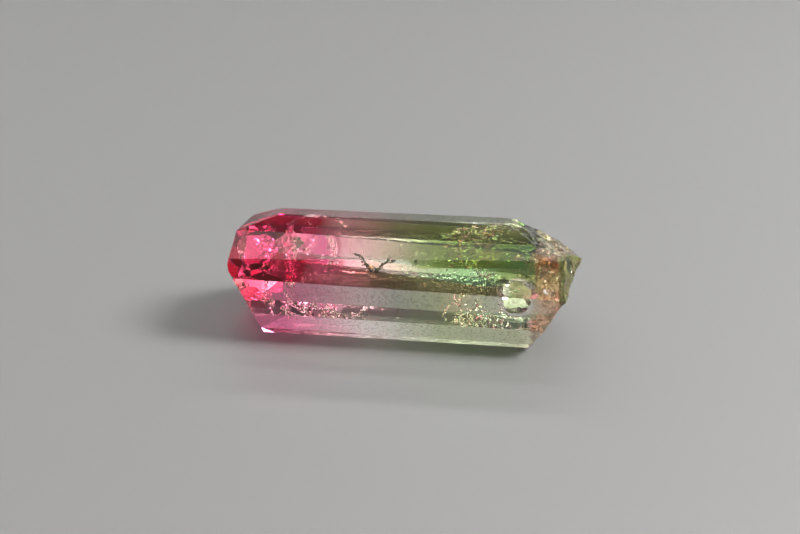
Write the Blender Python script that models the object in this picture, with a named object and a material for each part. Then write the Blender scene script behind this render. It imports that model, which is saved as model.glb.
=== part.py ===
"""Watermelon tourmaline: a cut and polished crystal that goes from pink to green.

The crystal lies on one long facet. Its length runs along X, pink end at -X and green
end at +X, +Z is up, and -Y is the side that faces a viewer. It is made as a cutter
makes it: a rough block loses everything outside each facet plane in turn. The pink
end is polished flat, while the green end keeps its rough, etched growth surface.
"""

import math

import bmesh
import bpy
from mathutils import Matrix, Vector, noise

MM = 0.001

NODE = "tourmaline_crystal"
COLLECTION = "watermelon_tourmaline_crystal"
CUTTER_COLLECTION = "cutters"

# The rough block that the crystal is cut from.
ROUGH_LENGTH = 34.0 * MM
ROUGH_WIDTH = 16.0 * MM
ROUGH_HEIGHT = 14.0 * MM

# A facet plane is given as on a faceting sheet. Roll turns it about the length, from
# 0 degrees facing -Y, through 90 facing up, to 180 facing +Y. Lean tips it towards
# the +X end. The last number is its distance from the origin, in millimetres. The
# origin lies on the resting facet, under the middle of the crystal.
LONG_FACETS = (
    ("resting", -90.0, 0.0, 0.00),
    ("front_low", -41.4, -0.2, 2.22),
    ("front_mid", -6.2, 0.0, 5.31),
    ("front_high", 23.6, 0.5, 7.99),
    ("front_crown", 41.9, -0.3, 9.38),
    ("top_front", 81.8, 0.0, 10.24),
    ("top_back", 99.2, -0.1, 10.00),
    ("back_crown", 142.0, 0.0, 7.46),
    ("back_mid", 166.3, 1.5, 5.97),
    ("back_low", -118.9, 0.0, 1.22),
)
PINK_END_FACETS = (
    ("pink_front", -44.3, -54.6, 11.07),
    ("pink_end", 102.4, -80.3, 15.03),
    ("pink_top", 97.2, -15.1, 12.51),
    ("pink_back_high", 148.0, -15.4, 9.53),
    ("pink_back_low", -160.0, -82.0, 14.65),
)

# The green end's planes are the mean planes of rough, etched surfaces.
GREEN_END_FACETS = (
    ("green_end", -85.5, 63.6, 9.81),
    ("green_tip", 32.5, 66.9, 15.79),
    ("green_top", 96.7, 22.1, 12.79),
    ("green_back_high", 139.3, 20.7, 10.30),
    ("green_back", 128.7, 43.1, 13.87),
)
GREEN_END_MIDDLE = (12.4, -0.7, 6.0)
ETCH_PATCH = 18.0 * MM
ETCH_CELL = 0.40 * MM
ETCH_LEDGES = 3
ETCH_LEDGE_RISE = 0.085 * MM
ETCH_LEDGE_LENGTH = 1.6 * MM
ETCH_LEDGE_STRETCH = 1.7
ETCH_RISER_SHARPNESS = 4
ETCH_PIT_DEPTH = 0.04 * MM
ETCH_PIT_SIZE = 0.5 * MM
ETCH_SEED_STEP = 3.7
SLAB_THICKNESS = 8.0 * MM

# Shell-shaped chips and etch pits: the middle of each scoop and its radius in
# millimetres, its stretch along each axis, and a seed for its lumps.
SCOOPS = (
    ("tip_chip_large", (-14.92, -5.74, 7.20), 0.95, (0.9, 1.0, 1.1), 3),
    ("tip_chip_small", (-14.12, -6.34, 6.30), 0.62, (1.2, 0.9, 0.8), 8),
    ("ridge_chip_pink", (-7.98, -0.67, 10.66), 0.55, (1.9, 0.8, 1.0), 13),
    ("ridge_chip_green", (6.52, -0.67, 10.72), 0.60, (2.2, 0.8, 1.0), 21),
    ("ridge_chip_end", (8.62, -0.14, 10.60), 0.50, (1.3, 1.0, 1.0), 34),
    ("tip_pit", (14.03, -3.84, 8.05), 0.42, (0.8, 0.9, 1.3), 55),
    ("tip_pit_low", (14.21, -3.44, 7.20), 0.27, (1.0, 1.0, 1.2), 89),
)
SCOOP_LUMP_SIZE = 0.77
SCOOP_LUMPINESS = 0.28

PINK = (0.80, 0.10, 0.22, 1.0)
GREEN = (0.22, 0.42, 0.20, 1.0)
PINK_UNTIL = -8.0 * MM
GREEN_FROM = 6.0 * MM
POLISH_ROUGHNESS = 0.03
REFRACTIVE_INDEX = 1.63


def clear_scene():
    """Empty the file of its objects."""
    for old in list(bpy.data.objects):
        bpy.data.objects.remove(old, do_unlink=True)


def new_collection(name):
    """Add a collection to the scene."""
    collection = bpy.data.collections.new(name)
    bpy.context.scene.collection.children.link(collection)
    return collection


def new_object(name, bm):
    """Turn a finished BMesh into an object and free it."""
    mesh = bpy.data.meshes.new(name)
    bm.to_mesh(mesh)
    bm.free()
    return bpy.data.objects.new(name, mesh)


def facet_normal(roll, lean):
    """Give the outward normal of a facet from its roll and lean, in degrees."""
    roll = math.radians(roll)
    lean = math.radians(lean)
    return Vector((
        math.sin(lean),
        -math.cos(lean) * math.cos(roll),
        math.cos(lean) * math.sin(roll),
    ))


def cut_facet(bm, roll, lean, distance):
    """Slice off all that lies outside one facet plane and close the cut face."""
    normal = facet_normal(roll, lean)
    bmesh.ops.bisect_plane(
        bm,
        geom=bm.verts[:] + bm.edges[:] + bm.faces[:],
        plane_co=normal * distance * MM,
        plane_no=normal,
        clear_outer=True,
    )
    open_edges = [edge for edge in bm.edges if edge.is_boundary]
    bmesh.ops.holes_fill(bm, edges=open_edges)


def facetted_crystal():
    """Cut the rough block to the long facets and the pink end's facets."""
    bm = bmesh.new()
    size = Matrix.Diagonal((ROUGH_LENGTH, ROUGH_WIDTH, ROUGH_HEIGHT, 1.0))
    place = Matrix.Translation((0.0, 0.0, ROUGH_HEIGHT * 0.4))
    bmesh.ops.create_cube(bm, size=1.0, matrix=place @ size)
    for _, roll, lean, distance in LONG_FACETS + PINK_END_FACETS:
        cut_facet(bm, roll, lean, distance)
    bmesh.ops.triangulate(bm, faces=bm.faces[:])
    return new_object(NODE, bm)


def etch_height(x, y, seed):
    """Give the rough end's relief: broad flat ledges, with fine pitting on them."""
    spot = Vector((x, y * ETCH_LEDGE_STRETCH, 0.0)) / ETCH_LEDGE_LENGTH
    broad = noise.noise(spot + Vector((seed, 0.0, seed))) * ETCH_LEDGES
    riser = (broad - math.floor(broad)) ** ETCH_RISER_SHARPNESS
    ledges = math.floor(broad) + riser
    pits = noise.noise(Vector((x, y, 0.0)) / ETCH_PIT_SIZE + Vector((0.0, seed, 0.0)))
    return ledges * ETCH_LEDGE_RISE + pits * ETCH_PIT_DEPTH


def etch_cutter(name, roll, lean, distance, seed):
    """Make a slab whose inner face is the etched surface of one rough end plane."""
    cells = round(ETCH_PATCH / ETCH_CELL)
    bm = bmesh.new()
    bmesh.ops.create_grid(bm, x_segments=cells, y_segments=cells, size=ETCH_PATCH / 2.0)
    for vert in bm.verts:
        vert.co.z = etch_height(vert.co.x, vert.co.y, seed)
    lid = bmesh.ops.extrude_face_region(bm, geom=bm.faces[:])
    for item in lid["geom"]:
        if isinstance(item, bmesh.types.BMVert):
            item.co.z = SLAB_THICKNESS
    bmesh.ops.recalc_face_normals(bm, faces=bm.faces[:])
    bmesh.ops.triangulate(bm, faces=bm.faces[:])

    outward = facet_normal(roll, lean)
    facing = outward.to_track_quat("Z", "Y").to_matrix().to_4x4()
    end_middle = Vector(GREEN_END_MIDDLE) * MM
    patch_middle = end_middle + outward * (distance * MM - end_middle.dot(outward))
    bm.transform(Matrix.Translation(patch_middle) @ facing)
    return new_object(name, bm)


def scoop_cutter(name, middle, radius, stretch, seed):
    """Make the lumpy ball that leaves a chip or a pit where it meets the crystal."""
    bm = bmesh.new()
    bmesh.ops.create_icosphere(bm, subdivisions=3, radius=1.0)
    for vert in bm.verts:
        lump = noise.noise(vert.co / SCOOP_LUMP_SIZE + Vector((seed, 0.0, 0.0)))
        vert.co *= 1.0 + lump * SCOOP_LUMPINESS
    size = Matrix.Diagonal((*(radius * MM * share for share in stretch), 1.0))
    bm.transform(Matrix.Translation(Vector(middle) * MM) @ size)
    return new_object(name, bm)


def subtract(body, cutter, cutters):
    """Take a cutter away from the crystal and keep it as a hidden guide."""
    cutters.objects.link(cutter)
    cutter.hide_render = True
    cutter.display_type = "WIRE"
    cut = body.modifiers.new(cutter.name, "BOOLEAN")
    cut.operation = "DIFFERENCE"
    cut.solver = "EXACT"
    cut.object = cutter


def crystal_material():
    """Make the clear stone's material, shading from pink to green along the length."""
    material = bpy.data.materials.new("watermelon_tourmaline")
    material.use_nodes = True
    nodes = material.node_tree.nodes
    links = material.node_tree.links
    shader = nodes["Principled BSDF"]
    shader.inputs["Roughness"].default_value = POLISH_ROUGHNESS
    shader.inputs["Metallic"].default_value = 0.0
    shader.inputs["IOR"].default_value = REFRACTIVE_INDEX
    shader.inputs["Transmission Weight"].default_value = 1.0
    position = nodes.new("ShaderNodeTexCoord")
    split = nodes.new("ShaderNodeSeparateXYZ")
    along = nodes.new("ShaderNodeMapRange")
    along.inputs["From Min"].default_value = PINK_UNTIL
    along.inputs["From Max"].default_value = GREEN_FROM
    zones = nodes.new("ShaderNodeValToRGB")
    zones.color_ramp.elements[0].color = PINK
    zones.color_ramp.elements[1].color = GREEN
    links.new(position.outputs["Object"], split.inputs["Vector"])
    links.new(split.outputs["X"], along.inputs["Value"])
    links.new(along.outputs["Result"], zones.inputs["Fac"])
    links.new(zones.outputs["Color"], shader.inputs["Base Color"])
    return material


clear_scene()
stone = new_collection(COLLECTION)
cutters = new_collection(CUTTER_COLLECTION)

crystal = facetted_crystal()
crystal.data.materials.append(crystal_material())
stone.objects.link(crystal)

for number, (name, roll, lean, distance) in enumerate(GREEN_END_FACETS, start=1):
    slab = etch_cutter(name, roll, lean, distance, ETCH_SEED_STEP * number)
    subtract(crystal, slab, cutters)
for name, middle, radius, stretch, seed in SCOOPS:
    subtract(crystal, scoop_cutter(name, middle, radius, stretch, seed), cutters)
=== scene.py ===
import math
import random

import bpy
from mathutils import Matrix, Vector
from mathutils.bvhtree import BVHTree


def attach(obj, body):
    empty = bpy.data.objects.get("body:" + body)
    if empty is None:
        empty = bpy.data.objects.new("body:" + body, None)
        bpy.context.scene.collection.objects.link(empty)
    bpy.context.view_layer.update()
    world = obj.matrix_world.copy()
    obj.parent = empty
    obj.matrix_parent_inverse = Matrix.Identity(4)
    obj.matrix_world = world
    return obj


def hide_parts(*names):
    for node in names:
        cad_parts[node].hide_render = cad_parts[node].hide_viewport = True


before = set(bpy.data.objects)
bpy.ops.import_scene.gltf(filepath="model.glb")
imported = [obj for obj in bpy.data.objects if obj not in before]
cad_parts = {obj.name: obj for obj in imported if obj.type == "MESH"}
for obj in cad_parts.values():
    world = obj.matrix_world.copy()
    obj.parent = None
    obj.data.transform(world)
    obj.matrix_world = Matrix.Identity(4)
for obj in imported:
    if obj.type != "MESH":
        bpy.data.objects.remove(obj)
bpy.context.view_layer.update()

MM = 0.001


# Viewpoint. A long lens looks down on the crystal's near side from a little to the right
# of straight on.

CAMERA_AZIMUTH = math.radians(7.3)
CAMERA_ELEVATION = math.radians(24.0)
CAMERA_DISTANCE = 99.4 * MM
CAMERA_AIM = Vector((-0.41, -0.75, 5.88)) * MM
CAMERA_LENS = 52.2
CAMERA_NEAREST = 1.0 * MM

camera_back = Vector((
    math.sin(CAMERA_AZIMUTH) * math.cos(CAMERA_ELEVATION),
    -math.cos(CAMERA_AZIMUTH) * math.cos(CAMERA_ELEVATION),
    math.sin(CAMERA_ELEVATION),
))
bpy.ops.object.select_all(action="DESELECT")
bpy.ops.object.camera_add(
    location=CAMERA_AIM + camera_back * CAMERA_DISTANCE,
    rotation=(-camera_back).to_track_quat("-Z", "Y").to_euler(),
)
camera = bpy.context.object
camera.name = "camera"
camera.data.lens = CAMERA_LENS
camera.data.clip_start = CAMERA_NEAREST
bpy.context.scene.camera = camera


# Studio. A plain pale matt floor under a wide soft box with thin bright strips, a low pale
# backdrop behind, a soft side light that casts the short shadow, and a weak front light.

FLOOR_SIZE = 2000.0 * MM
FLOOR_GAP = 0.02 * MM
FLOOR_COLOUR = (0.0248, 0.0244, 0.0237, 1.0)
FLOOR_ROUGHNESS = 0.6
HALF_TURN = 180.0
SKY_STOPS = (
    # angle overhead (degrees), from the horizon behind to the one in front, and strength
    (0.0, 0.72), (7.0, 0.66), (12.5, 0.09), (48.0, 0.10), (55.0, 0.28), (58.0, 0.85),
    (74.0, 1.00), (79.0, 1.70), (90.0, 1.70), (94.0, 1.10), (124.0, 1.10), (131.0, 0.50),
    (137.0, 0.18), (180.0, 0.14),
)
STRIP_ANGLES = (45.0, 64.0, 101.0, 111.0, 134.0)
STRIP_WIDTH = 4.0
STRIP_GLOW = 21.0
STRIP_REACH = 0.68
SIDE_LIGHT_PLACE = Vector((0.32, -0.05, 0.345))
SIDE_LIGHT_SIZE = 0.16
SIDE_LIGHT_POWER = 19.0
FILL_LIGHT_PLACE = Vector((0.18, -0.30, 0.355))
FILL_LIGHT_SIZE = 0.25
FILL_LIGHT_POWER = 0.50
CLEAR_BOUNCES = 24
MIRROR_BOUNCES = 16
PLAIN_DETAIL = 2.0


class Wire:
    """An output socket, so that shader sums can be written as Python sums."""

    def __init__(self, tree, socket=None):
        self.tree = tree
        self.socket = socket

    def add(self, kind, settings, values, output=0):
        """Add a node: first its settings, then each socket's value or link."""
        node = self.tree.nodes.new(kind)
        for name, value in settings.items():
            if name == "stops":
                self.set_stops(node.color_ramp.elements, value)
            else:
                setattr(node, name, value)
        for name, value in values.items():
            if isinstance(value, Wire):
                self.tree.links.new(value.socket, node.inputs[name])
            else:
                node.inputs[name].default_value = value
        return Wire(self.tree, node.outputs[output])

    @staticmethod
    def set_stops(elements, stops):
        """Give a colour ramp its stops, in order."""
        while len(elements) < len(stops):
            elements.new(0.5)
        for element, (position, colour) in zip(elements, stops):
            element.position = position
            element.color = colour

    def math(self, operation, first, second):
        """Join two numbers with a Math node."""
        return self.add("ShaderNodeMath", {"operation": operation}, {0: first, 1: second})

    def __add__(self, other):
        return self.math("ADD", self, other)

    def __radd__(self, other):
        return self.math("ADD", other, self)

    def __sub__(self, other):
        return self.math("SUBTRACT", self, other)

    def __rsub__(self, other):
        return self.math("SUBTRACT", other, self)

    def __mul__(self, other):
        return self.math("MULTIPLY", self, other)

    def __rmul__(self, other):
        return self.math("MULTIPLY", other, self)

    def __truediv__(self, other):
        return self.math("DIVIDE", self, other)

    def other(self, output):
        """Give another output of the same node."""
        return Wire(self.tree, self.socket.node.outputs[output])

    def feed(self, node, name):
        """Link this socket to a node's input."""
        self.tree.links.new(self.socket, node.inputs[name])

    def climb(self, low, high):
        """Climb smoothly from 0 where this number is low to 1 where it is high."""
        settings = {"interpolation_type": "SMOOTHSTEP"}
        return self.add("ShaderNodeMapRange", settings, {0: self, 1: low, 2: high})

    def near(self, value, reach):
        """Give 1 where this number is within a reach of a value, and 0 elsewhere."""
        values = {0: self, 1: value, 2: reach}
        return self.add("ShaderNodeMath", {"operation": "COMPARE"}, values)

    def tinting(self, colour):
        """Multiply a colour by this one."""
        settings = {"data_type": "RGBA", "blend_type": "MULTIPLY"}
        return self.add("ShaderNodeMix", settings, {0: 1.0, 6: colour, 7: self}, output=2)

    def mixed(self, low, high):
        """Blend two colours, with this number as the share of the second."""
        values = {0: self, 6: low, 7: high}
        return self.add("ShaderNodeMix", {"data_type": "RGBA"}, values, output=2)

    def vector(self, operation, first, second, output=0):
        """Join two places, or two colours, with a Vector Math node."""
        values = {0: first, 1: second}
        return self.add("ShaderNodeVectorMath", {"operation": operation}, values, output)

    def distance(self, middle):
        """Give how far this place lies from a middle in mm, in mm."""
        return self.vector("DISTANCE", self, Vector(middle) * MM, output=1) / MM

    def along(self, facing):
        """Give how far this place lies along a facing, in mm."""
        return self.vector("DOT_PRODUCT", self, facing, output=1) / MM

    def noise(self, scale, detail=PLAIN_DETAIL):
        """Give a cloudy pattern over this place."""
        values = {"Vector": self, "Scale": scale, "Detail": detail}
        return self.add("ShaderNodeTexNoise", {}, values)


bpy.ops.object.select_all(action="DESELECT")
bpy.ops.mesh.primitive_plane_add(size=FLOOR_SIZE, location=(0.0, 0.0, -FLOOR_GAP))
floor = bpy.context.object
floor.name = "floor"
floor_paint = bpy.data.materials.new("matt_floor")
floor_paint.use_nodes = True
floor_shader = floor_paint.node_tree.nodes["Principled BSDF"]
floor_shader.inputs["Base Color"].default_value = FLOOR_COLOUR
floor_shader.inputs["Roughness"].default_value = FLOOR_ROUGHNESS
floor.data.materials.append(floor_paint)

sky = bpy.data.worlds.new("soft_box_sky")
bpy.context.scene.world = sky
sky.use_nodes = True
sky_nodes = Wire(sky.node_tree)
sky_place = sky_nodes.add("ShaderNodeTexCoord", {}, {})
sideways = sky_nodes.add("ShaderNodeSeparateXYZ", {}, {0: sky_place})
angle = sky_nodes.math("ARCTAN2", sideways.other(2), sideways.other(1)) / math.pi
stops = [(degrees / HALF_TURN, (value, value, value, 1.0)) for degrees, value in SKY_STOPS]
glow = sky_nodes.add("ShaderNodeValToRGB", {"stops": stops}, {0: angle})
half_strip = 0.5 * STRIP_WIDTH / HALF_TURN
strips = sum(angle.near(degrees / HALF_TURN, half_strip) for degrees in STRIP_ANGLES)
strips = strips * sideways.near(0.0, STRIP_REACH) * STRIP_GLOW
sky_nodes.vector("ADD", glow, strips).feed(sky.node_tree.nodes["Background"], "Color")


def soft_light(name, place, size, power):
    """Hang a square soft light at a place, turned to the middle of the floor."""
    bpy.ops.object.select_all(action="DESELECT")
    bpy.ops.object.light_add(
        type="AREA", location=place, rotation=place.to_track_quat("Z", "Y").to_euler()
    )
    light = bpy.context.object
    light.name = name
    light.data.size = size
    light.data.energy = power


soft_light("side_light", SIDE_LIGHT_PLACE, SIDE_LIGHT_SIZE, SIDE_LIGHT_POWER)
soft_light("fill_light", FILL_LIGHT_PLACE, FILL_LIGHT_SIZE, FILL_LIGHT_POWER)
bpy.context.scene.view_settings.view_transform = "Standard"
bpy.context.scene.cycles.max_bounces = CLEAR_BOUNCES
bpy.context.scene.cycles.transmission_bounces = CLEAR_BOUNCES
bpy.context.scene.cycles.glossy_bounces = MIRROR_BOUNCES


# The crystal. One clear piece of tourmaline, pink to green along its length, sawn and
# polished flat on its long sides and its pink end, and left rough at the green end, where
# a thin skin of brown and olive mineral clings to it in patches.

WELD = 0.0005 * MM
FLAT_WITHIN = math.radians(0.1)
SHARP_ABOVE = math.radians(12.0)
POLISHED_TO = 11.5 * MM
WORN_FROM = 1.5 * MM
EDGE_WEAR = 0.022 * MM
EDGE_STEPS = 2
STONE_IOR = 1.63
BODY_COLOUR = (0.90, 0.78, 0.80, 1.0)
BODY_DENSITY = 45.0
NO_TINT = (1.0, 1.0, 1.0, 1.0)
ZONE_REACH = 15.0
ZONE_WAVE = 1.2
ZONE_WAVE_SCALE = 260.0

# The belts of colour. Each begins at a height (mm) and climbs along the crystal by a slope.
# They follow the facets, and over the stone's pink-to-green colour they hold painted light
# and shade: the bright and dark bands that each facet shows. The low belt, painted shade,
# lies over the foot, past the pink end's facets, and the flush on those facets, above it.
# The dark belt is painted shade. The patch is a painted highlight: the pale place where a
# broad film of air lies beneath and mirrors the light.
BELT_BLEND = 0.10
FOOT_TOP = 3.08
PAST_END_FROM = (-11.4, -10.6)
LOW_BELT_TOP = (4.21, 0.042)
LOW_BELT_SHADE = (0.48, 0.66, 0.50, 1.0)
FLUSH_TINT = (1.00, 0.22, 0.27, 1.0)
REAR_FROM = (1.0, 2.0)
BACK_FROM = 5.0
PAINTED_SHADE_BELT_FROM = (6.19, -0.0175)
FRONT_FROM = (7.38, -0.085)
CROWN_FROM = (8.43, 0.036)
CROWN_SAG = 0.62
CROWN_SAG_FROM = (0.5, 2.0)
TOP_FROM = 9.80
KEEL_TOP = (1.76, -0.013)
PAINTED_HIGHLIGHT_MIDDLE = (9.8, -5.8, 5.9)
PAINTED_HIGHLIGHT_EDGE = (1.75, 1.45)
PAINTED_HIGHLIGHT_COLOUR = (0.95, 1.00, 0.92, 1.0)
MOTTLE_SCALE = 4600.0
MOTTLE_DETAIL = 5.0
MOTTLE_FROM = (0.32, 0.50)
MOTTLE_DARK = (0.56, 0.52, 0.49, 1.0)

# The fine waves of the polish, and the etched skin of the ridge's back and the rough end.
RIDGE_BACK_FROM = (-0.75, -0.60)
RIDGE_FROST = 0.12
RIDGE_ETCH = 0.05
ROUGH_END_FROM = (10.8, 11.8)
END_FROST = 0.08
END_ETCH = 0.014
ETCH_SCALE = 3200.0
ETCH_DETAIL = 3.0
POLISH_SCALE = 2200.0
POLISH_DETAIL = 3.0
POLISH_WAVE = 0.0016
RIB_SCALE = 2600.0
RIB_STRETCH = (0.10, 1.0, 1.0)
RIB_WAVE = 0.0010

# The mineral skin on the rough end, with painted shade in a pit near the tip and a small
# painted highlight spot.
STAIN_SCALE = 900.0
STAIN_DETAIL = 5.0
STAIN_WANDER = 2.0
STAIN_TOP = 10.3
STAIN_BANDS = (
    # height (mm) and colour
    (0.0, (0.22, 0.145, 0.090)),
    (2.5, (0.34, 0.170, 0.105)),
    (5.0, (0.38, 0.225, 0.145)),
    (6.4, (0.21, 0.150, 0.070)),
    (7.9, (0.064, 0.052, 0.015)),
    (8.6, (0.105, 0.038, 0.007)),
    (9.0, (0.110, 0.050, 0.013)),
    (9.5, (0.070, 0.064, 0.045)),
)
STAIN_MOTTLE_FROM = (0.40, 0.60)
STAIN_DARK = (0.34, 0.29, 0.22, 1.0)
SHOULDER_FACING = (0.376, 0.108, 0.920)
SHOULDER_FROM = (12.25, 12.50)
SHOULDER_STAIN = (0.068, 0.064, 0.046, 1.0)
GRAIN_FROM = (0.57, 0.66)
GRAIN_COLOUR = (0.33, 0.26, 0.17, 1.0)
TIP_FACING = (0.920, -0.331, 0.211)
TIP_FROM = (15.20, 15.45)
TIP_STAIN = (0.030, 0.035, 0.011, 1.0)
TIP_COVER = 0.6
# Painted shade: the pit's hollow is painted near black.
PIT_MIDDLE = (13.80, -4.05, 8.30)
PIT_EDGE = (0.70, 0.52)
PIT_PAINTED_SHADE = (0.006, 0.007, 0.003, 1.0)
# Painted highlight: a small pale spot on the rough end, standing in for a white glint.
PAINTED_GLINT_MIDDLE = (12.18, -5.78, 6.50)
PAINTED_GLINT_EDGE = (0.26, 0.16)
PAINTED_GLINT_RAGGED = 1.4
PAINTED_GLINT_COLOUR = (0.14, 0.13, 0.12, 1.0)
CRUST_FROM = (10.9, 11.4)
CRUST_DRIFT = 1.6
CRUST_LEAST = 0.14
CRUST_SPREAD = 0.52
CRUST_PATCH_FROM = (0.38, 0.62)
CRUST_ROUGHNESS = 0.35
CRUST_GLOSS = 0.15

# The colours along each belt: places along the crystal (mm) and their colours. Foot to top
# lie in turn up the near side, and keel, rear and back up the far side. Each is partly the
# stone's own pink-to-green colour and partly painted light and shade, as bright or dark as
# the facets of that belt look from what they mirror and let through.
FOOT_ZONES = (
    (-15.0, (1.00, 0.22, 0.42)),
    (-10.0, (1.00, 0.24, 0.44)),
    (-6.0, (1.00, 0.72, 0.74)),
    (-3.0, (1.00, 0.98, 0.92)),
    (0.0, (0.66, 0.70, 0.56)),
    (4.0, (0.38, 0.50, 0.28)),
    (8.0, (0.36, 0.46, 0.28)),
    (11.0, (0.38, 0.42, 0.22)),
    (13.0, (1.00, 0.76, 0.50)),
)
LOWER_ZONES = (
    (-15.0, (1.00, 0.16, 0.34)),
    (-10.0, (1.00, 0.26, 0.44)),
    (-6.0, (1.00, 0.62, 0.70)),
    (-3.0, (1.00, 0.86, 0.80)),
    (0.0, (0.52, 0.60, 0.46)),
    (3.0, (0.56, 0.74, 0.38)),
    (5.0, (1.00, 1.00, 0.50)),
    (7.0, (0.76, 1.00, 0.62)),
    (9.0, (0.90, 1.00, 0.80)),
    (11.0, (1.00, 0.95, 0.70)),
    (13.0, (1.00, 0.76, 0.50)),
)
# Painted shade: the dark band on the near side, deep red at the pink end, near black in the
# middle and dark olive in the green half.
PAINTED_SHADE_BELT_ZONES = (
    (-15.0, (1.00, 0.008, 0.07)),
    (-7.8, (0.46, 0.001, 0.010)),
    (-6.2, (0.90, 0.20, 0.26)),
    (-4.3, (0.50, 0.16, 0.13)),
    (-2.0, (0.08, 0.05, 0.016)),
    (0.0, (0.06, 0.057, 0.013)),
    (4.0, (0.22, 0.26, 0.06)),
    (8.0, (0.30, 0.34, 0.10)),
    (11.0, (0.20, 0.26, 0.07)),
    (13.0, (0.70, 0.55, 0.32)),
)
FRONT_ZONES = (
    (-15.0, (1.00, 0.02, 0.48)),
    (-10.5, (1.00, 0.015, 0.26)),
    (-9.2, (0.24, 0.004, 0.03)),
    (-8.0, (0.17, 0.004, 0.025)),
    (-6.4, (0.28, 0.08, 0.11)),
    (-4.4, (1.00, 0.85, 0.84)),
    (-1.5, (0.62, 0.72, 0.50)),
    (0.0, (0.80, 1.00, 0.74)),
    (3.0, (0.33, 0.72, 0.43)),
    (6.0, (0.34, 0.92, 0.58)),
    (8.5, (0.14, 0.26, 0.08)),
    (11.0, (0.12, 0.20, 0.05)),
    (13.0, (0.50, 0.44, 0.24)),
)
CROWN_ZONES = (
    (-15.0, (1.00, 0.10, 0.24)),
    (-9.0, (1.00, 0.10, 0.24)),
    (-8.2, (1.00, 0.66, 0.66)),
    (-6.6, (1.00, 1.00, 0.92)),
    (-4.0, (0.95, 0.90, 0.78)),
    (-1.0, (0.52, 0.66, 0.38)),
    (1.0, (0.22, 0.34, 0.12)),
    (3.0, (0.13, 0.26, 0.035)),
    (7.0, (0.065, 0.115, 0.008)),
    (10.0, (0.030, 0.115, 0.014)),
    (12.5, (0.24, 0.19, 0.05)),
)
TOP_ZONES = (
    (-15.0, (1.00, 0.10, 0.16)),
    (-12.0, (0.80, 0.05, 0.15)),
    (-10.5, (0.80, 0.03, 0.15)),
    (-9.0, (0.50, 0.025, 0.09)),
    (-7.4, (1.00, 0.34, 0.40)),
    (-5.0, (1.00, 0.54, 0.52)),
    (-1.0, (0.46, 0.52, 0.24)),
    (3.0, (0.30, 0.42, 0.12)),
    (7.0, (0.38, 0.54, 0.18)),
    (12.0, (0.44, 0.48, 0.26)),
)
KEEL_ZONES = (
    (-15.0, (0.90, 0.001, 0.02)),
    (-8.4, (0.60, 0.001, 0.010)),
    (-6.6, (0.90, 0.36, 0.38)),
    (-4.5, (0.90, 0.36, 0.34)),
    (-1.0, (0.26, 0.26, 0.08)),
    (2.0, (0.22, 0.27, 0.04)),
    (6.0, (0.24, 0.32, 0.06)),
    (10.0, (0.26, 0.34, 0.08)),
    (14.0, (0.60, 0.50, 0.28)),
)
REAR_ZONES = (
    (-15.0, (1.00, 0.24, 0.50)),
    (-10.0, (1.00, 0.30, 0.54)),
    (-6.0, (1.00, 0.62, 0.72)),
    (-3.0, (1.00, 0.94, 0.92)),
    (0.0, (0.95, 1.00, 0.90)),
    (3.0, (0.90, 0.98, 0.70)),
    (6.0, (1.00, 1.00, 0.75)),
    (11.0, (0.95, 1.00, 0.85)),
    (13.0, (1.00, 0.76, 0.50)),
)
BACK_ZONES = (
    (-15.0, (1.00, 0.24, 0.50)),
    (-6.0, (1.00, 0.62, 0.72)),
    (0.0, (0.80, 0.90, 0.70)),
    (3.0, (0.60, 0.85, 0.45)),
    (6.0, (0.42, 0.66, 0.36)),
    (9.0, (0.26, 0.48, 0.28)),
    (13.0, (0.60, 0.55, 0.34)),
)

bpy.ops.object.select_all(action="DESELECT")
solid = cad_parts["tourmaline_crystal"]
crystal = bpy.data.objects.new("polished_crystal", solid.data.copy())
bpy.context.scene.collection.objects.link(crystal)
bpy.context.view_layer.objects.active = crystal
crystal.select_set(True)
bpy.ops.object.mode_set(mode="EDIT")
bpy.ops.mesh.select_all(action="SELECT")
bpy.ops.mesh.customdata_custom_splitnormals_clear()
bpy.ops.mesh.remove_doubles(threshold=WELD)
bpy.ops.mesh.dissolve_limited(angle_limit=FLAT_WITHIN)
bpy.ops.mesh.faces_shade_flat()
bpy.ops.mesh.select_all(action="DESELECT")
bpy.ops.mesh.edges_select_sharp(sharpness=SHARP_ABOVE)
bpy.ops.object.mode_set(mode="OBJECT")
for edge in crystal.data.edges:
    first, last = (crystal.data.vertices[corner].co for corner in edge.vertices)
    polished = max(first.x, last.x) < POLISHED_TO
    edge.select = edge.select and polished and (first - last).length > WORN_FROM
bpy.ops.object.mode_set(mode="EDIT")
bpy.ops.mesh.bevel(offset=EDGE_WEAR, segments=EDGE_STEPS, affect="EDGES", clamp_overlap=True)
bpy.ops.object.mode_set(mode="OBJECT")


def clear_stone(name):
    """Make a clear stone, and give its material and its shader."""
    paint = bpy.data.materials.new(name)
    paint.use_nodes = True
    shader = paint.node_tree.nodes["Principled BSDF"]
    shader.inputs["Transmission Weight"].default_value = 1.0
    shader.inputs["IOR"].default_value = STONE_IOR
    return paint, shader


stone, stone_shader = clear_stone("watermelon_tourmaline")
stone_nodes = Wire(stone.node_tree)
place = stone_nodes.add("ShaderNodeTexCoord", {}, {}, output=3)
axes = stone_nodes.add("ShaderNodeSeparateXYZ", {}, {0: place})
length = axes / MM
depth = axes.other(1) / MM
height = axes.other(2) / MM
wave = place.noise(ZONE_WAVE_SCALE)
drift = length + (wave - 0.5) * (2.0 * ZONE_WAVE)
zone_share = (drift + ZONE_REACH) / (2.0 * ZONE_REACH)


def zone(stops):
    """Colour along the crystal, from places in mm and their colours."""
    ends = [((spot + ZONE_REACH) / (2.0 * ZONE_REACH), (*tone, 1.0)) for spot, tone in stops]
    return stone_nodes.add("ShaderNodeValToRGB", {"stops": ends}, {0: zone_share})


def over(edge, slope=0.0, sag=0.0):
    """Share that is 1 above an edge, which climbs by a slope along the crystal and sags."""
    return (height + sag - length * slope).climb(edge - BELT_BLEND, edge + BELT_BLEND)


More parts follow.
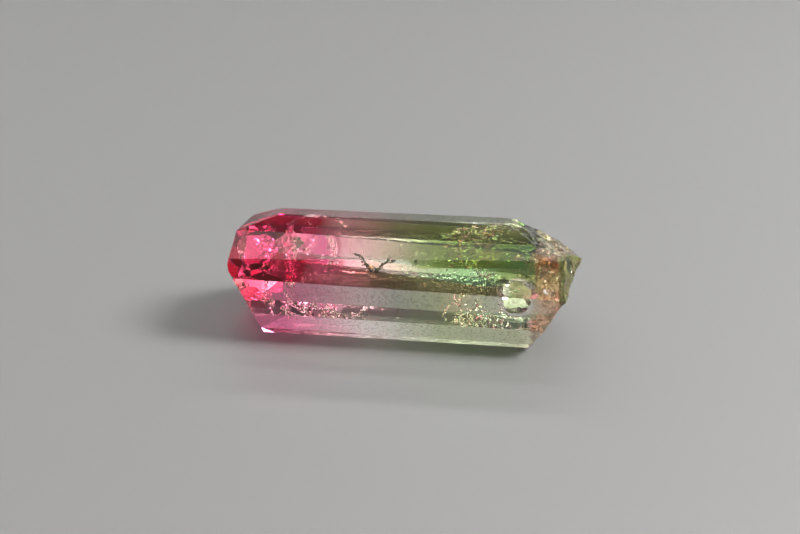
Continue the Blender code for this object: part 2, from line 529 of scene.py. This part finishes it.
rear = depth.climb(*REAR_FROM)
near_side = 1.0 - rear
past_end = length.climb(*PAST_END_FROM)
low_belt = over(FOOT_TOP) * (1.0 - over(*LOW_BELT_TOP)) * past_end
flush = over(*LOW_BELT_TOP) * (1.0 - past_end)
crown_sag = drift.climb(*CROWN_SAG_FROM) * CROWN_SAG
colour = over(FOOT_TOP).mixed(zone(FOOT_ZONES), zone(LOWER_ZONES))
colour = low_belt.mixed(NO_TINT, LOW_BELT_SHADE).tinting(colour)
colour = flush.mixed(NO_TINT, FLUSH_TINT).tinting(colour)
colour = rear.mixed(colour, zone(REAR_ZONES))
colour = (rear * over(BACK_FROM)).mixed(colour, zone(BACK_ZONES))
colour = (over(*PAINTED_SHADE_BELT_FROM) * near_side).mixed(colour, zone(PAINTED_SHADE_BELT_ZONES))
colour = (over(*FRONT_FROM) * near_side).mixed(colour, zone(FRONT_ZONES))
colour = (over(*CROWN_FROM, crown_sag) * near_side).mixed(colour, zone(CROWN_ZONES))
# Painted highlight: the patch over the broad film of air is left pale, so its reflection shows
# brighter.
colour = place.distance(PAINTED_HIGHLIGHT_MIDDLE).climb(*PAINTED_HIGHLIGHT_EDGE).mixed(colour, PAINTED_HIGHLIGHT_COLOUR)
colour = over(TOP_FROM).mixed(colour, zone(TOP_ZONES))
colour = (rear * (1.0 - over(*KEEL_TOP))).mixed(colour, zone(KEEL_ZONES))
mottle = place.noise(MOTTLE_SCALE, MOTTLE_DETAIL)
colour = mottle.climb(*MOTTLE_FROM).mixed(MOTTLE_DARK, NO_TINT).tinting(colour)
colour.feed(stone_shader, "Base Color")

ridge_back = over(TOP_FROM) * depth.climb(*RIDGE_BACK_FROM)
rough_end = length.climb(*ROUGH_END_FROM)
(ridge_back * RIDGE_FROST + rough_end * END_FROST).feed(stone_shader, "Roughness")
polish = place.noise(POLISH_SCALE, POLISH_DETAIL)
ribs = place.vector("MULTIPLY", place, RIB_STRETCH).noise(RIB_SCALE)
etch = place.noise(ETCH_SCALE, ETCH_DETAIL)
etch_depth = ridge_back * RIDGE_ETCH + rough_end * END_ETCH
relief = polish * POLISH_WAVE + ribs * RIB_WAVE + etch * etch_depth
bump_values = {"Height": relief, "Distance": MM, "Strength": 1.0}
bump = stone_nodes.add("ShaderNodeBump", {}, bump_values)
bump.feed(stone_shader, "Normal")

stains = place.noise(STAIN_SCALE, STAIN_DETAIL)
bands = [(level / STAIN_TOP, (*tone, 1.0)) for level, tone in STAIN_BANDS]
wander = height + (stains - 0.5) * STAIN_WANDER
tip = place.along(TIP_FACING).climb(*TIP_FROM)
pit_shade = place.distance(PIT_MIDDLE).climb(*PIT_EDGE)
painted_glint = place.distance(PAINTED_GLINT_MIDDLE) + (etch - 0.5) * PAINTED_GLINT_RAGGED
painted_glint = painted_glint.climb(*PAINTED_GLINT_EDGE)
stain_and_painted_light = stone_nodes.add("ShaderNodeValToRGB", {"stops": bands}, {0: wander / STAIN_TOP})
stain_and_painted_light = place.along(SHOULDER_FACING).climb(*SHOULDER_FROM).mixed(stain_and_painted_light, SHOULDER_STAIN)
stain_and_painted_light = etch.climb(*GRAIN_FROM).mixed(stain_and_painted_light, GRAIN_COLOUR)
stain_and_painted_light = tip.mixed(stain_and_painted_light, TIP_STAIN)
stain_and_painted_light = mottle.climb(*STAIN_MOTTLE_FROM).mixed(STAIN_DARK, NO_TINT).tinting(stain_and_painted_light)
# Painted shade in the pit, then the painted highlight spot.
stain_and_painted_light = pit_shade.mixed(stain_and_painted_light, PIT_PAINTED_SHADE)
stain_and_painted_light = painted_glint.mixed(stain_and_painted_light, PAINTED_GLINT_COLOUR)
crust_values = {
    "Base Color": stain_and_painted_light,
    "Roughness": CRUST_ROUGHNESS,
    "Specular IOR Level": CRUST_GLOSS,
    "Normal": bump,
}
crust = stone_nodes.add("ShaderNodeBsdfPrincipled", {}, crust_values)
cover = CRUST_LEAST + stains.climb(*CRUST_PATCH_FROM) * CRUST_SPREAD
cover = (length + (wave - 0.5) * CRUST_DRIFT).climb(*CRUST_FROM) * cover
for extra in (TIP_COVER * tip, pit_shade, painted_glint):
    cover = cover + (1.0 - cover) * extra
glass = Wire(stone.node_tree, stone_shader.outputs["BSDF"])
stone_face = stone_nodes.add("ShaderNodeMixShader", {}, {0: cover, 1: glass, 2: crust})
body_values = {"Color": BODY_COLOUR, "Density": BODY_DENSITY}
body = stone_nodes.add("ShaderNodeVolumeAbsorption", {}, body_values)
stone_output = stone.node_tree.nodes["Material Output"]
stone_face.feed(stone_output, "Surface")
body.feed(stone_output, "Volume")
crystal.data.materials.clear()
crystal.data.materials.append(stone)


# Healed cracks. Thin crumpled gaps of air that stayed in the stone where cracks grew
# together again: flakes over loose sheets and along threads, a ragged rim along each
# thread, and a few broad veils and films. They are the stone's own inner walls.

FLAKE_SEGMENTS = 8
FLAKE_RINGS = 4
FLAKE_THICKNESS = 0.05
FLAKE_CRUMPLE = 0.45
FLAKE_GRAIN = 0.6
FLAKE_GAP = 0.45
FLAKE_WIDTHS = (0.15, 0.65)
FLAKE_TRIES = 4
TILT_SPREADS = 1.5
SHEET_SPREAD = 0.5
SHEET_SWELLS = (0.25, 0.2)
SHEET_PITCHES = (1.3, 1.9)
SHEET_PHASE = 2.0
UPPER_GLINT = (0.0, -0.34, 0.94)
FRONT_GLINT = (0.0, -0.45, 0.89)
LOWER_GLINT = (0.0, -0.60, 0.80)
CROSS_GLINT = (1.0, -0.25, 0.35)
CRACK_SHEETS = (
    # middle, facing of the sheet, half width and height, flakes, sizes (mm), glint, tilt
    ((-9.4, -2.6, 7.3), (1.0, 0.14, 0.0), (2.3, 1.7), 120, (0.12, 0.50), CROSS_GLINT, 45.0),
    ((-9.3, -2.8, 7.6), (1.0, 0.14, 0.0), (1.6, 1.8), 130, (0.10, 0.48), UPPER_GLINT, 35.0),
    ((-11.5, -3.2, 8.1), (0.8, -0.3, 0.5), (0.9, 0.6), 60, (0.10, 0.44), UPPER_GLINT, 40.0),
    ((5.6, -2.6, 8.8), (0.5, -0.5, 0.7), (3.6, 1.3), 300, (0.13, 0.62), UPPER_GLINT, 50.0),
    ((7.6, -4.3, 4.4), (0.4, -0.5, 0.8), (1.8, 0.7), 24, (0.08, 0.30), LOWER_GLINT, 40.0),
    ((-2.0, -3.6, 7.2), (0.2, -0.9, 0.3), (8.0, 1.6), 150, (0.05, 0.16), FRONT_GLINT, 55.0),
    ((12.4, -1.5, 6.0), (1.0, 0.0, 0.2), (3.0, 2.6), 90, (0.06, 0.24), FRONT_GLINT, 55.0),
)
CRACK_THREADS = (
    # places along the thread (mm), spread, flakes, sizes (mm), glint
    (
        ((-9.5, -5.0, 5.5), (-9.3, -5.0, 4.9), (-9.0, -5.0, 4.3), (-8.4, -4.9, 3.7),
         (-7.9, -4.9, 3.6)),
        0.07, 8, (0.14, 0.50), LOWER_GLINT,
    ),
    (
        ((-8.3, -4.8, 3.5), (-7.9, -4.9, 3.3), (-7.6, -5.0, 3.9), (-7.1, -5.0, 4.4),
         (-6.8, -5.0, 3.9), (-7.4, -4.9, 3.4), (-7.9, -4.9, 3.9)),
        0.07, 9, (0.14, 0.50), LOWER_GLINT,
    ),
    (
        ((-9.9, -4.9, 3.7), (-9.6, -4.9, 3.5), (-9.4, -4.9, 3.1), (-9.1, -4.8, 2.8)),
        0.08, 6, (0.14, 0.50), LOWER_GLINT,
    ),
    (
        ((-11.4, -4.9, 5.3), (-11.2, -4.9, 4.8), (-11.4, -4.9, 4.5), (-11.0, -4.9, 4.1)),
        0.09, 12, (0.14, 0.50), LOWER_GLINT,
    ),
    (
        ((-6.2, -4.9, 3.9), (-5.6, -4.9, 3.5), (-4.9, -4.8, 3.4), (-4.2, -4.8, 3.1)),
        0.10, 4, (0.08, 0.28), LOWER_GLINT,
    ),
    (
        ((-8.6, -0.3, 9.6), (-7.6, -0.1, 9.6), (-6.6, -0.2, 9.6)),
        0.16, 30, (0.10, 0.42), UPPER_GLINT,
    ),
    (
        ((-6.0, -0.5, 9.6), (-5.4, -1.2, 9.4), (-4.8, -1.7, 9.2)),
        0.08, 18, (0.10, 0.39), UPPER_GLINT,
    ),
    (
        ((3.9, -4.8, 3.2), (3.8, -4.9, 4.0), (4.3, -4.9, 4.8), (5.0, -4.9, 5.3),
         (5.5, -4.9, 5.9)),
        0.06, 16, (0.12, 0.46), LOWER_GLINT,
    ),
    (
        ((4.6, -4.9, 5.6), (5.0, -4.9, 5.0), (5.3, -4.9, 4.2), (5.2, -4.8, 3.4),
         (5.6, -4.8, 2.9)),
        0.07, 14, (0.12, 0.46), LOWER_GLINT,
    ),
    (
        ((5.3, -4.8, 3.9), (5.9, -4.9, 4.4), (6.6, -4.9, 4.5), (7.1, -4.9, 4.0),
         (7.5, -4.8, 3.5)),
        0.07, 14, (0.09, 0.39), LOWER_GLINT,
    ),
    (
        ((6.4, -4.9, 5.4), (6.6, -4.9, 4.9), (7.1, -4.9, 4.6), (7.3, -4.9, 4.2)),
        0.08, 8, (0.08, 0.32), LOWER_GLINT,
    ),
    (
        ((8.4, -4.9, 5.3), (8.7, -4.9, 4.8), (8.4, -4.9, 4.4), (8.9, -4.9, 4.1),
         (9.3, -4.9, 4.0)),
        0.08, 12, (0.08, 0.32), LOWER_GLINT,
    ),
    (
        ((3.6, -2.6, 9.2), (4.4, -1.6, 9.5), (5.4, -1.2, 9.6), (6.6, -1.8, 9.5)),
        0.14, 45, (0.10, 0.48), UPPER_GLINT,
    ),
    (
        ((4.6, -3.6, 8.8), (5.2, -3.0, 8.5), (6.6, -3.2, 8.7)),
        0.20, 40, (0.10, 0.48), UPPER_GLINT,
    ),
    (
        ((9.6, -2.4, 9.0), (10.2, -2.8, 8.6), (10.6, -3.4, 8.0)),
        0.14, 26, (0.09, 0.36), UPPER_GLINT,
    ),
)
THREAD_TILT = 35.0
RIM_STEP = 0.13
RIM_STRAY = 0.05
RIM_THICKNESS = 0.10
RIM_WIDTHS = (0.25, 1.0)
RIM_SIDES = 1
BROAD_THICKNESS = 0.02
BROAD_SIDES = 18
BROAD_CUTS = 3
BROAD_RAGGED = 0.45
BROAD_RAGGED_GRAIN = 0.9
BROAD_GRAIN = 0.45
VEIL_CRUMPLE = 0.025
VEILS = (
    # middle (mm), facing, half length and width (mm), turn about the facing (degrees)
    ((-12.53, -3.47, 4.49), (0.12, -0.57, 0.81), (1.0, 0.85), 0.0),
    ((-11.10, -2.60, 7.30), (-0.10, -0.40, 0.91), (0.7, 0.8), 50.0),
)
FILM_CRUMPLE = 0.006
FILMS = (
    # middle (mm), facing, half length and width (mm), turn about the facing (degrees)
    ((-12.20, -2.55, 7.45), (-0.06, -0.38, 0.92), (1.60, 1.70), 80.0),
    ((9.72, -2.66, 5.02), (0.21, -0.47, 0.86), (1.28, 0.95), 0.0),
    ((9.69, -3.97, 4.89), (-0.06, -0.60, 0.80), (1.05, 1.0), 0.0),
)

bpy.ops.object.select_all(action="DESELECT")
bpy.ops.mesh.primitive_uv_sphere_add(
    segments=FLAKE_SEGMENTS, ring_count=FLAKE_RINGS, radius=1.0
)
flake = bpy.context.object
flake.name = "crack_flake"
bpy.ops.object.mode_set(mode="EDIT")
bpy.ops.mesh.select_all(action="SELECT")
bpy.ops.transform.resize(value=(1.0, 1.0, FLAKE_THICKNESS))
bpy.ops.mesh.flip_normals()
bpy.ops.mesh.faces_shade_flat()
bpy.ops.object.mode_set(mode="OBJECT")


def displace(piece, grain, strength, direction):
    """Push a piece's surface along one of its axes by a cloudy pattern."""
    cloud = bpy.data.textures.new("cloud", "CLOUDS")
    cloud.noise_scale = grain
    bpy.context.view_layer.objects.active = piece
    bpy.ops.object.modifier_add(type="DISPLACE")
    push = piece.modifiers[0]
    push.texture = cloud
    push.direction = direction
    push.strength = strength
    bpy.ops.object.modifier_apply(modifier=push.name)


displace(flake, FLAKE_GRAIN, FLAKE_CRUMPLE, "Z")


def broad_gap(name, crumple):
    """Make a thin ragged disc of air, more or less crumpled."""
    bpy.ops.object.select_all(action="DESELECT")
    bpy.ops.mesh.primitive_cylinder_add(
        vertices=BROAD_SIDES, radius=1.0, depth=BROAD_THICKNESS, end_fill_type="TRIFAN"
    )
    gap = bpy.context.object
    gap.name = name
    bpy.ops.object.mode_set(mode="EDIT")
    bpy.ops.mesh.select_all(action="SELECT")
    bpy.ops.mesh.subdivide(number_cuts=BROAD_CUTS)
    bpy.ops.mesh.quads_convert_to_tris()
    bpy.ops.mesh.flip_normals()
    bpy.ops.mesh.faces_shade_flat()
    bpy.ops.object.mode_set(mode="OBJECT")
    displace(gap, BROAD_RAGGED_GRAIN, BROAD_RAGGED, "X")
    displace(gap, BROAD_RAGGED_GRAIN, BROAD_RAGGED, "Y")
    displace(gap, BROAD_GRAIN, crumple, "Z")
    return gap


veil = broad_gap("crack_veil", VEIL_CRUMPLE)
film = broad_gap("crack_film", FILM_CRUMPLE)

crack_wall, crack_shader = clear_stone("crack_wall")
crack_shader.inputs["Base Color"].default_value = NO_TINT
crack_shader.inputs["Roughness"].default_value = 0.0


def place_copy(shape, spot, facing, turn, size):
    """Copy a shape to a spot in mm, facing a way, at a size in mm, and give the copy."""
    aim = Vector(facing).normalized().to_track_quat("Z", "Y").to_matrix().to_4x4()
    spin = Matrix.Rotation(turn, 4, "Z")
    scale = Matrix.Diagonal((*size, 1.0))
    copy = bpy.data.objects.new(shape.name, shape.data.copy())
    copy.data.transform(
        Matrix.Translation(Vector(spot) * MM) @ aim @ spin @ scale @ Matrix.Scale(MM, 4)
    )
    bpy.context.scene.collection.objects.link(copy)
    return copy


def inside(spot, margin):
    """Tell whether a spot in mm lies deeper than a margin under the stone's skin."""
    wall, outward, _, _ = skin.find_nearest(spot * MM)
    return (wall - spot * MM).dot(outward) > margin * MM


def stray(dice, spread):
    """Draw a small step in any direction."""
    return Vector([dice.gauss(0.0, spread) for _ in range(3)])


def draw_size(dice, sizes):
    """Draw a flake's size in mm, with the small ones the commonest."""
    return sizes[0] + (sizes[1] - sizes[0]) * dice.random() ** 2


def place_flake(dice, spot, size, glint, tilt):
    """Put one flake at a spot, roughly facing the way that glints."""
    lean = stray(dice, math.radians(tilt) / TILT_SPREADS)
    turn = dice.random() * math.tau
    width = size * dice.uniform(*FLAKE_WIDTHS)
    return place_copy(flake, spot, Vector(glint).normalized() + lean, turn, (size, width, size))


def crack_sheet(middle, facing, reach, count, sizes, glint, tilt, seed):
    """Strew flakes over one crumpled sheet and give their objects."""
    dice = random.Random(seed)
    facing = Vector(facing).normalized()
    side = facing.cross(Vector((0.0, 0.0, 1.0))).normalized()
    rise = side.cross(facing)
    spots = []
    flakes = []
    for _ in range(count * FLAKE_TRIES):
        u = dice.gauss(0.0, SHEET_SPREAD) * reach[0]
        v = dice.gauss(0.0, SHEET_SPREAD) * reach[1]
        size = draw_size(dice, sizes)
        swell = SHEET_SWELLS[0] * math.sin(SHEET_PITCHES[0] * u + seed)
        swell += SHEET_SWELLS[1] * math.sin(SHEET_PITCHES[1] * v + SHEET_PHASE * seed)
        spot = Vector(middle) + side * u + rise * v + facing * swell
        if not inside(spot, size):
            continue
        if any((spot - other).length < FLAKE_GAP * (size + near) for other, near in spots):
            continue
        spots.append((spot, size))
        flakes.append(place_flake(dice, spot, size, glint, tilt))
        if len(flakes) == count:
            break
    return flakes


def crack_thread(places, spread, count, sizes, glint, seed):
    """String flakes along a bent thread and give their objects."""
    dice = random.Random(seed)
    flakes = []
    for step in range(count):
        along = (len(places) - 1) * (step + dice.random()) / count
        leg = min(int(along), len(places) - 2)
        spot = Vector(places[leg]).lerp(Vector(places[leg + 1]), along - leg)
        spot += stray(dice, spread)
        size = draw_size(dice, sizes)
        if inside(spot, size):
            flakes.append(place_flake(dice, spot, size, glint, THREAD_TILT))
    return flakes


def crack_rim(places, seed):
    """Make the ragged rim of a crack as a thin tube of air along a bent thread."""
    dice = random.Random(seed)
    bpy.ops.object.select_all(action="DESELECT")
    bpy.ops.curve.primitive_nurbs_path_add()
    rim = bpy.context.object
    rim.name = "crack_rim"
    rim.data.splines.clear()
    spots = []
    for leg_start, leg_end in zip(places, places[1:]):
        leg = Vector(leg_end) - Vector(leg_start)
        steps = max(1, round(leg.length / RIM_STEP))
        spots.extend(Vector(leg_start) + leg * (step / steps) for step in range(steps))
    line = rim.data.splines.new("POLY")
    line.points.add(len(spots) - 1)
    for point, spot in zip(line.points, spots):
        point.co = (*((spot + stray(dice, RIM_STRAY)) * MM), 1.0)
        point.radius = dice.uniform(*RIM_WIDTHS)
    rim.data.bevel_depth = RIM_THICKNESS * MM
    rim.data.bevel_resolution = RIM_SIDES
    rim.data.use_fill_caps = True
    bpy.ops.object.convert(target="MESH")
    bpy.ops.object.mode_set(mode="EDIT")
    bpy.ops.mesh.select_all(action="SELECT")
    bpy.ops.mesh.normals_make_consistent(inside=True)
    bpy.ops.mesh.faces_shade_flat()
    bpy.ops.object.mode_set(mode="OBJECT")
    return rim


def merge(pieces, target, paint):
    """Give each piece one finish and join them all into the target."""
    bpy.ops.object.select_all(action="DESELECT")
    for piece in pieces:
        piece.data.materials.clear()
        piece.data.materials.append(paint)
        piece.select_set(True)
    target.select_set(True)
    bpy.context.view_layer.objects.active = target
    bpy.ops.object.join()


skin = BVHTree.FromObject(crystal, bpy.context.evaluated_depsgraph_get())
cracks = []
for seed, sheet in enumerate(CRACK_SHEETS):
    cracks.extend(crack_sheet(*sheet, seed))
for seed, thread in enumerate(CRACK_THREADS):
    cracks.extend(crack_thread(*thread, seed))
    cracks.append(crack_rim(thread[0], seed))
for shape, gaps in ((veil, VEILS), (film, FILMS)):
    for spot, facing, (long, wide), turn in gaps:
        cracks.append(place_copy(shape, spot, facing, math.radians(turn), (long, wide, long)))
for shape in (flake, veil, film):
    bpy.data.objects.remove(shape, do_unlink=True)
merge(cracks, crystal, crack_wall)
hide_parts("tourmaline_crystal")
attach(crystal, "root")


# Dark thread. A little branching growth of a dark mineral that the crystal closed round,
# in the pale middle behind the upper front facet. Many short crooked needles make it up.

NEEDLE_FINENESS = 2
NEEDLE_CRUMPLE = 0.35
NEEDLE_CRUMPLE_SEED = 5
NEEDLE_THICKNESS = 0.44
NEEDLE_STEP = 0.10
NEEDLE_LENGTH = (0.08, 0.20)
NEEDLE_WIDTH = (0.30, 0.65)
NEEDLE_STRAY = 0.045
NEEDLE_LEAN = 0.4
NEEDLE_SEED = 31
DARK_BRANCHES = (
    ((-3.87, -3.90, 8.20), (-3.50, -4.00, 8.10), (-2.91, -4.22, 7.87), (-2.57, -4.45, 7.33)),
    ((-2.90, -4.30, 7.50), (-2.22, -4.39, 7.48), (-1.66, -4.50, 7.20), (-1.39, -4.26, 7.75)),
    ((-1.62, -4.48, 7.28), (-1.20, -4.30, 7.70), (-0.80, -4.16, 7.96)),
    ((-3.10, -4.30, 7.75), (-2.60, -4.40, 7.60), (-2.22, -4.50, 7.25)),
    ((-2.60, -4.45, 7.30), (-2.20, -4.50, 7.10), (-1.60, -4.55, 7.00)),
)
MINERAL_SCALE = 6000.0
MINERAL_CLOUD_FROM = (0.35, 0.65)
DARK_COLOURS = ((0.012, 0.014, 0.006, 1.0), (0.05, 0.04, 0.015, 1.0))
DARK_ROUGHNESS = 0.5

bpy.ops.object.select_all(action="DESELECT")
bpy.ops.mesh.primitive_ico_sphere_add(subdivisions=NEEDLE_FINENESS, radius=1.0)
needle = bpy.context.object
needle.name = "mineral_needle"
bpy.ops.object.mode_set(mode="EDIT")
bpy.ops.mesh.select_all(action="SELECT")
bpy.ops.transform.vertex_random(offset=NEEDLE_CRUMPLE, seed=NEEDLE_CRUMPLE_SEED)
bpy.ops.mesh.faces_shade_flat()
bpy.ops.object.mode_set(mode="OBJECT")


def mineral_finish(name, colours, roughness):
    """Make a mineral's finish: two colours in a fine cloudy mix, and a rough skin."""
    paint = bpy.data.materials.new(name)
    paint.use_nodes = True
    shader = paint.node_tree.nodes["Principled BSDF"]
    paint_place = Wire(paint.node_tree).add("ShaderNodeTexCoord", {}, {}, output=3)
    cloud = paint_place.noise(MINERAL_SCALE).climb(*MINERAL_CLOUD_FROM)
    cloud.mixed(*colours).feed(shader, "Base Color")
    shader.inputs["Roughness"].default_value = roughness
    return paint


dice = random.Random(NEEDLE_SEED)
needles = []
for branch in DARK_BRANCHES:
    for leg_start, leg_end in zip(branch, branch[1:]):
        leg = Vector(leg_end) - Vector(leg_start)
        for step in range(max(1, round(leg.length / NEEDLE_STEP))):
            spot = Vector(leg_start) + leg * (step * NEEDLE_STEP / leg.length)
            spot += stray(dice, NEEDLE_STRAY)
            long = dice.uniform(*NEEDLE_LENGTH)
            wide = long * dice.uniform(*NEEDLE_WIDTH)
            facing = leg.normalized() + stray(dice, NEEDLE_LEAN)
            size = (wide, wide * NEEDLE_THICKNESS, long)
            needles.append(place_copy(needle, spot, facing, 0.0, size))
dark_thread = needles[0]
dark_thread.name = "dark_thread"
merge(needles, dark_thread, mineral_finish("dark_mineral", DARK_COLOURS, DARK_ROUGHNESS))
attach(dark_thread, "root")


# Rust flecks. Small flat specks of a rust-coloured mineral that the stone closed round,
# three of them in the dark thread's fork and the rest strewn through the green half.

RUST_SPOTS = (
    # middle and half length (mm)
    ((-2.30, -4.60, 7.52), 0.13), ((-2.12, -4.62, 7.44), 0.10), ((-2.42, -4.58, 7.42), 0.08),
    ((2.14, -4.95, 6.35), 0.10), ((2.24, -4.95, 6.20), 0.07),
    ((4.89, -3.17, 9.08), 0.12), ((4.96, -3.86, 8.31), 0.11), ((5.10, -4.00, 8.10), 0.07),
    ((6.80, -1.60, 9.20), 0.12), ((3.90, -4.90, 4.30), 0.10), ((10.90, -3.20, 8.40), 0.11),
)
RUST_WIDTH = 0.6
RUST_THICKNESS = 0.4
RUST_COLOURS = ((0.75, 0.22, 0.05, 1.0), (1.0, 0.62, 0.30, 1.0))
RUST_ROUGHNESS = 0.35

specks = []
for spot, size in RUST_SPOTS:
    facing = stray(dice, 1.0)
    shape = (size, size * RUST_WIDTH, size * RUST_THICKNESS)
    specks.append(place_copy(needle, spot, facing, dice.random(), shape))
bpy.data.objects.remove(needle, do_unlink=True)
rust_flecks = specks[0]
rust_flecks.name = "rust_flecks"
merge(specks, rust_flecks, mineral_finish("rust_stain", RUST_COLOURS, RUST_ROUGHNESS))
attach(rust_flecks, "root")
